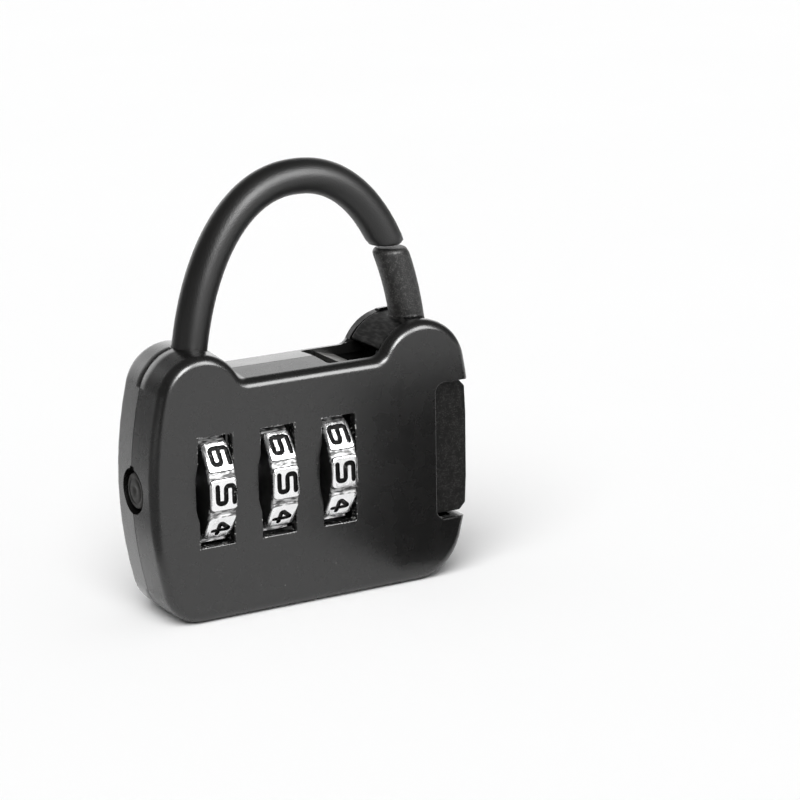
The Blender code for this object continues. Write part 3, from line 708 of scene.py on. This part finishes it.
def gate_arm():
    """Hub and arm in one casting; remeshing rounds the corners between them as casting does."""
    foot, tip = arch_angle(GATE_FOOT_Z), arch_angle(GATE_FACE_Z - GATE_EDGE)
    arm = arch_rod("gate_arm_rod", foot, tip, 24, 1.0, GATE_EDGE, GATE_OFFSET)
    hub = along_y("gate_arm_cast", sector(HUB_RADIUS, *HUB_SECTOR), -HUB_HALF_Y, HUB_HALF_Y)
    join(hub, arm, along_y("core", circle(PIVOT, HUB_CORE), POCKET_Y[0] + 0.01, POCKET_Y[1] - 0.01))
    cut(hub,
        along_y("front_pocket", circle(PIVOT, FRONT_POCKET), -CLEAR_Y, POCKET_Y[0]),
        along_y("spring_pocket", circle(PIVOT, SPRING_POCKET), POCKET_Y[1], CLEAR_Y),
        along_y("pivot_bore", circle(PIVOT, PIVOT_BORE), -CLEAR_Y, CLEAR_Y))
    modify(hub, "REMESH", mode="VOXEL", voxel_size=mm(CAST_VOXEL))
    modify(hub, "SMOOTH", factor=0.5, iterations=6)
    settle(hub)
    for material in (CAST_GATE, WORN_HUB):
        hub.data.materials.append(material)
    for face in hub.data.polygons:
        x, _, z = face.center
        if math.hypot(x - mm(PIVOT[0]), z - mm(PIVOT[1])) < mm(HUB_RADIUS + 0.2):
            face.material_index = 1
    shown(hub, "gate_arm", sharp_deg=180)


shackle_hook()
gate_arm()


# ---------------------------------------------------------------- button and reset screw

def side_button():
    """The button, with the thin flash of its mould's parting line down the middle of its face."""
    low, high = node_box("side_button")
    z0, z1 = low[2] + BUTTON_FOOT[1], high[2]
    x1, foot_x = OUTER_X - BUTTON_INSET, low[0] + BUTTON_FOOT[0]

    def both_ends(steps):
        """The steps' points at the lower end, and in reverse order at the upper one."""
        lower = [(x1 - back, z0 + along) for back, along in steps]
        return lower, [(x1 - back, z1 - along) for back, along in reversed(steps)]

    face = sum(both_ends(BUTTON_EASE), [])
    foot = [(low[0], low[2]), (foot_x, low[2]), (foot_x, z0)]
    loop = [*foot, (x1 - BUTTON_STEP, z0), *face, (x1 - BUTTON_STEP, z1), (low[0], z1)]
    button = along_y("side_button_cast", loop, low[1], high[1])
    cut(button,
        turned("spring_bore", [(low[0] - 1, BUTTON_BORE[0]), (low[0] + BUTTON_BORE[1], BUTTON_BORE[0])]),
        box("plate_slot", [PIVOT[0] + x for x in PLATE_SLOT[0]], *PLATE_SLOT[1:]))
    modify(button, "BEVEL", width=mm(BUTTON_EDGE), segments=4, limit_method="ANGLE",
           angle_limit=math.radians(40))
    settle(button)
    lower, upper = both_ends(FLASH_ENDS)
    line = lower + face + upper
    join(button, loft("flash", [[(x + out, y, z) for out, y in FLASH_SECTION] for x, z in line]))
    shown(button, "side_button", CAST_BUTTON, 32)


def reset_screw():
    """The screw, with a ring and a dimple turned in its head."""
    low, high = node_box("reset_screw")
    head, radius = low[0], RESET_RADIUS
    start, end = RESET_FLANGE_X
    face = [(0.12, 0.25), (0.02, 0.5), (0.02, 1.3), (0.09, 1.42), (0.02, 1.56),
            (0.02, radius - 0.24), (0.12, radius - 0.12), (0.3, radius)]
    steps = [(head + x, r) for x, r in face]
    steps += [(start, radius), (start, RESET_FLANGE), (end, RESET_FLANGE)]
    steps += [(end, SPINDLE_END), (high[0], SPINDLE_END)]
    shown(turned("reset_screw_head", steps, count=72), "reset_screw", SCREW_FACE, 40)


side_button()
reset_screw()


# ---------------------------------------------------------------- number wheels

# Strokes of each digit on a 1 x 1 square, u to the right and v up.
DIGITS = {
    0: [((0, 0), (0, 1), (1, 1), (1, 0), (0, 0))],
    1: [((0.2, 0.8), (0.55, 1), (0.55, 0))],
    2: [((0, 1), (1, 1), (1, 0.5), (0, 0.5), (0, 0), (1, 0))],
    3: [((0, 1), (1, 1), (1, 0), (0, 0)), ((0.2, 0.5), (1, 0.5))],
    4: [((0.72, 0), (0.72, 1), (0, 0.3), (1, 0.3))],
    5: [((1, 1), (0, 1), (0, 0.5), (1, 0.5), (1, 0), (0, 0))],
    6: [((1, 1), (0, 1), (0, 0), (1, 0), (1, 0.5), (0, 0.5))],
    7: [((0, 1), (1, 1), (0.4, 0))],
    8: [((0, 0.5), (0, 1), (1, 1), (1, 0), (0, 0), (0, 0.5), (1, 0.5))],
    9: [((0, 0), (1, 0), (1, 1), (0, 1), (0, 0.5), (1, 0.5))],
}


def soft_corners(points, radius, steps=4):
    """The polyline with each inner corner replaced by a short arc."""
    path = [Vector(points[0])]
    for before, here, after in zip(points, points[1:], points[2:]):
        here, back, ahead = Vector(here), Vector(before) - Vector(here), Vector(after) - Vector(here)
        trim = min(radius, back.length / 2, ahead.length / 2)
        first, last = here + back.normalized() * trim, here + ahead.normalized() * trim
        shares = [i / steps for i in range(steps + 1)]
        path += [first * (1 - s) ** 2 + here * 2 * s * (1 - s) + last * s * s for s in shares]
    return path + [Vector(points[-1])]


def stroke_rings(path, half):
    """Left and right edges of a stroke of this half width, with round ends."""
    edges = []

    def round_end(here, outward, across, angles):
        for a in angles:
            ahead, aside = outward * half * math.cos(a), across * half * math.sin(a)
            edges.append((here + ahead + aside, here + ahead - aside))

    for i, here in enumerate(path):
        before, after = path[max(i - 1, 0)], path[min(i + 1, len(path) - 1)]
        along = (after - before).normalized()
        across = Vector((-along.y, along.x))
        if i == 0:
            round_end(here, -along, across, (0.25, 0.6, 1.0))
        edges.append((here + across * half, here - across * half))
        if i == len(path) - 1:
            round_end(here, along, across, (1.0, 0.6, 0.25))
    return edges


def digit_cutters(name, x, turn_deg):
    """Cutters for a wheel's numbers. Each digit's top faces +X, and the numbers rise downward in front."""
    points, faces = [], []
    floor = FLAT_PLANE - STROKE_DEPTH
    flanks = ((floor, 0.8), (floor + 0.6, 1.25))     # distance from the axis, and the stroke's width there
    inner = (DIGIT_SIZE[0] - STROKE_WIDTH, DIGIT_SIZE[1] - STROKE_WIDTH)
    for digit, strokes in DIGITS.items():
        angle = math.radians(turn_deg + 180 + (FIRST_DIGIT - digit) * 360 / FACETS)
        outward, rising = (math.cos(angle), math.sin(angle)), (-math.sin(angle), math.cos(angle))
        for stroke in strokes:
            corners = [((u - 0.5) * inner[0], (v - 0.5) * inner[1]) for u, v in stroke]
            path = soft_corners(corners, DIGIT_CORNER)
            start = len(points)
            edges = stroke_rings(path, STROKE_WIDTH / 2)
            for left, right in edges:
                middle = (left + right) / 2
                for height, width in flanks:
                    for side in (left, right):
                        place = middle + (side - middle) * width
                        y = outward[0] * height + rising[0] * place.x
                        z = AXIS_Z + outward[1] * height + rising[1] * place.x
                        points.append((x + place.y, y, z))
            last = start + 4 * (len(edges) - 1)
            for a in range(start, last, 4):
                faces += [(a + p, a + q, a + 4 + q, a + 4 + p) for p, q in ((0, 1), (1, 3), (3, 2), (2, 0))]
            faces += [(a, a + 1, a + 3, a + 2) for a in (start, last)]
    cutter = mesh_object(name, points, faces)
    cutter.data.materials.append(ENAMEL)
    return cutter


def dial_ring(depth, turn_deg):
    """A wheel's section this deep from its side, where the flats shorten and sink to round their corners."""
    step = 360 / FACETS
    sunk = PAD_EDGE - math.sqrt(PAD_EDGE ** 2 - max(0.0, PAD_EDGE - depth) ** 2)
    short = PAD_CORNER - math.sqrt(PAD_CORNER ** 2 - (PAD_CORNER - depth) ** 2)
    end = PAD_END - math.degrees(short / DIAL_RADIUS) / step
    flat = ((-end, PAD_DROP), (PAD_BREAK - end, 0.0), (end - PAD_BREAK, 0.0), (end, PAD_DROP))
    groove = (end + PAD_BREAK, 1 - PAD_BREAK - end)
    points = []
    for i in range(FACETS):
        facet = [(at, FLAT_PLANE / math.cos(math.radians(at * step)) - drop - sunk) for at, drop in flat]
        facet += [(at, DIAL_RADIUS - GROOVE_DEPTH - sunk) for at in groove]
        for at, radius in facet:
            angle = math.radians((i + at) * step + turn_deg)
            points.append((radius * math.cos(angle), radius * math.sin(angle)))
    return points


def dial(k, x, turn_deg, shift):
    """A ten-sided wheel: polished flats with engraved numbers, and a tooled strip between flats."""
    edges = [-DIAL_HALF_WIDTH + depth for depth in (0.0, 0.03, 0.09, 0.17, 0.26, 0.4, PAD_CORNER)]
    rings = [[(x + at, y, AXIS_Z + z) for y, z in dial_ring(at + DIAL_HALF_WIDTH, turn_deg)] for at in edges]
    rings += [[(2 * x - at, y, z) for at, y, z in ring] for ring in reversed(rings)]
    wheel = loft(f"dial_{k}_wheel", rings)
    for material in (CHROME, TOOLED, ENAMEL, SHADED_WHEEL_SIDE):
        wheel.data.materials.append(material)
    for face in wheel.data.polygons:
        if len(face.vertices) > 4:
            # the wheels' sides take the dark finish that paints in their shade
            face.material_index = 3
        elif max(v % len(rings[0]) % 6 for v in face.vertices) >= 4:     # touches the groove's two points
            face.material_index = 1
    cut(wheel, digit_cutters("digits", x + shift, turn_deg), overlaps=True)
    cut(wheel, turned("bore", [(x - 3, DIAL_BORE), (x + 3, DIAL_BORE)], count=48))
    shown(wheel, f"dial_{k}", sharp_deg=30)


for k, (x, turn_deg, shift) in enumerate(zip(DIAL_X, DIAL_TURN_DEG, DIGIT_SHIFT), 1):
    dial(k, x, turn_deg, shift)


# ---------------------------------------------------------------- springs that a slide presses shorter

def pressed_spring(node, turns, wire=0.18, steps=28, sides=10):
    """A coil on the wheels' axis that fills its CAD node's box; wire is a radius."""
    low, high = node_box(node)
    mean, length = high[1] - wire, high[0] - low[0]
    count = int(turns * steps)
    turns_round = [math.tau * j / sides for j in range(sides)]
    section = [(wire * math.cos(a), mean + wire * math.sin(a)) for a in turns_round]
    rings = []
    for i in range(count + 1):
        angle, middle = math.tau * i / steps, low[0] + wire + (length - 2 * wire) * i / count
        rings.append([(middle + along, reach * math.cos(angle), AXIS_Z + reach * math.sin(angle))
                      for along, reach in section])
    spring = shown(loft(f"{node}_wire", rings), node, STEEL, 60)
    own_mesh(spring)


pressed_spring("button_spring", 5)
pressed_spring("spindle_spring", 3)


# ---------------------------------------------------------------- inner pieces: CAD shapes in finished metal

SLOT_MATERIALS = {"black_paint": PAINT_ROD, "cast_black": CAST_GATE, "chrome": CHROME, "zinc": ZINC,
                  "spring_steel": STEEL}
for subpart in frame["record"]["subparts"]:
    mesh = frame["nodes"][subpart["node"]].data
    mesh.materials.clear()
    mesh.materials.append(SLOT_MATERIALS[subpart["material_slot"]])


# ---------------------------------------------------------------- floor, light and camera

def area_light(name, place, aim, size, power, ratio):
    light = bpy.data.lights.new(name, "AREA")
    light.shape, light.size, light.size_y, light.energy = "RECTANGLE", mm(size), mm(size * ratio), power
    made = linked(name, light)
    made.location = [mm(c) for c in place]
    made.rotation_euler = (Vector(aim) - Vector(place)).to_track_quat("-Z", "Y").to_euler()
    made.visible_camera = False
    return made


def sun(name, aim_from, strength, spread_deg):
    """A broad soft light that casts the shadow on the floor but isn't reflected."""
    light = bpy.data.lights.new(name, "SUN")
    light.energy, light.angle = strength, math.radians(spread_deg)
    made = linked(name, light)
    made.rotation_euler = (-Vector(aim_from)).to_track_quat("-Z", "Y").to_euler()
    made.visible_glossy = False


def studio_floor():
    paper = Finish("studio_paper", (0.9, 0.9, 0.9), 0.9, Specular_IOR_Level=0.0)
    paper.set("Base Color", paper.colour(paper.noise(60.0), (0.8865, 0.8865, 0.8865), (0.9, 0.9, 0.9)))
    half = FLOOR_HALF
    corners = [(-half, -half, 0), (half, -half, 0), (half, half, 0), (-half, half, 0)]
    floor = mesh_object("studio_floor", corners, [(0, 1, 2, 3)])
    floor.data.materials.append(paper.material)


def studio_world():
    """White to the camera, even to matt surfaces, and to glossy ones a dark room with a pale wall behind."""
    world = bpy.data.worlds.new("studio_air")
    world.use_nodes = True
    tree = world.node_tree
    sky = tree.nodes["Background"]

    def add(kind, sockets, **settings):
        return add_node(tree, kind, sockets, **settings).outputs

    def fade(value, low, high):
        return add("ShaderNodeMapRange", {0: value, 1: low, 2: high}, interpolation_type="SMOOTHSTEP")[0]

    def both(first, second):
        return add("ShaderNodeMath", {0: first, 1: second}, operation="MULTIPLY")[0]

    def choose(share, low, high):
        return add("ShaderNodeMix", {0: share, 2: low, 3: high}, data_type="FLOAT")[0]

    x, y, z = add("ShaderNodeSeparateXYZ", {0: add("ShaderNodeTexCoord", {})["Generated"]})
    behind, low, right = fade(y, 0.3, 0.85), fade(z, 0.58, 0.25), fade(x, -0.5, -0.22)
    wall = both(both(behind, low), right)
    room = add("ShaderNodeMapRange", {0: wall, 3: ROOM_DARK, 4: WALL_BRIGHT})[0]
    rays = add("ShaderNodeLightPath", {})
    even = choose(rays["Is Glossy Ray"], EVEN_LIGHT, room)
    tree.links.new(choose(rays["Is Camera Ray"], even, AIR_WHITE), sky.inputs["Strength"])
    sky.inputs["Color"].default_value = (1.0, 1.0, 1.0, 1)
    bpy.context.scene.world = world


def glossy_only(item):
    """Makes a light or a card show in reflections and nowhere else."""
    item.visible_camera = item.visible_diffuse = item.visible_shadow = item.visible_transmission = False


def card(made, strength):
    """Makes a mesh an even card of this radiance that is only there to be reflected."""
    sheet = Finish(made.name + "_sheet", (0.0, 0.0, 0.0), 1.0, Specular_IOR_Level=0.0,
                   Emission_Color=(1, 1, 1, 1), Emission_Strength=strength)
    made.data.materials.append(sheet.material)
    glossy_only(made)


def floor_card(name, corners, strength):
    """A card that lies just over the floor."""
    card(mesh_object(name, [(x, y, FLOOR_CARD_Z) for x, y in corners], [(0, 1, 2, 3)]), strength)


FLOOR_HALF = 3000
AIR_WHITE, EVEN_LIGHT, ROOM_DARK, WALL_BRIGHT = 0.985, 0.36, 0.12, 2.1
CARD_GREY, CARD_DARK, FLOOR_CARD_Z = 0.3, 0.01, 0.4
studio_floor()
studio_world()
sun("soft_sun", (-0.45, -0.6, 1.0), 2.95, 50)
glossy_only(area_light("key_softbox", (260, -420, 300), (0, 0, 20), 230, 3.0, 1.5))
glossy_only(area_light("front_softbox", (-20, -450, 260), (0, 0, 25), 190, 3.2, 1.42))
floor_card("floor_glow", ((-22.4, 5), (-56.7, 65), (-20, 65), (6, 6)), 1.1)
floor_card("floor_left_front", ((-170, -110), (-32, -110), (-32, -8), (-170, -8)), CARD_GREY)
floor_card("floor_left", ((-200, -8), (-33, -8), (-33, 34), (-200, 34)), CARD_GREY)
floor_card("floor_left_behind", ((-1500, 34), (-52, 34), (-644, 1500), (-1500, 1500)), CARD_GREY)
floor_card("floor_right_front", ((13, -36), (70, -36), (70, -9), (13, -9)), CARD_DARK)
card(box("dark_side", (-260, -90), (-160, -150), (0, 220)), CARD_DARK)
card(box("dark_neighbour", (21, 70), (-34, -10), (0, 16)), CARD_DARK)

CAMERA_PLACE = (-147.4, -282.6, 109.1)
CAMERA_FORWARD = (0.47780, 0.83821, -0.26290)
CAMERA_ROLL_DEG = 0.87
CAMERA_LENS = 132
camera = linked("camera", bpy.data.cameras.new("camera"))
camera.data.lens = CAMERA_LENS
camera.data.clip_start, camera.data.clip_end = 0.01, 20
camera.location = [mm(c) for c in CAMERA_PLACE]
camera.rotation_mode = "QUATERNION"
roll = Matrix.Rotation(math.radians(-CAMERA_ROLL_DEG), 3, "Z").to_quaternion()
camera.rotation_quaternion = Vector(CAMERA_FORWARD).to_track_quat("-Z", "Y") @ roll
bpy.context.scene.camera = camera
bpy.context.scene.view_settings.view_transform = "Standard"
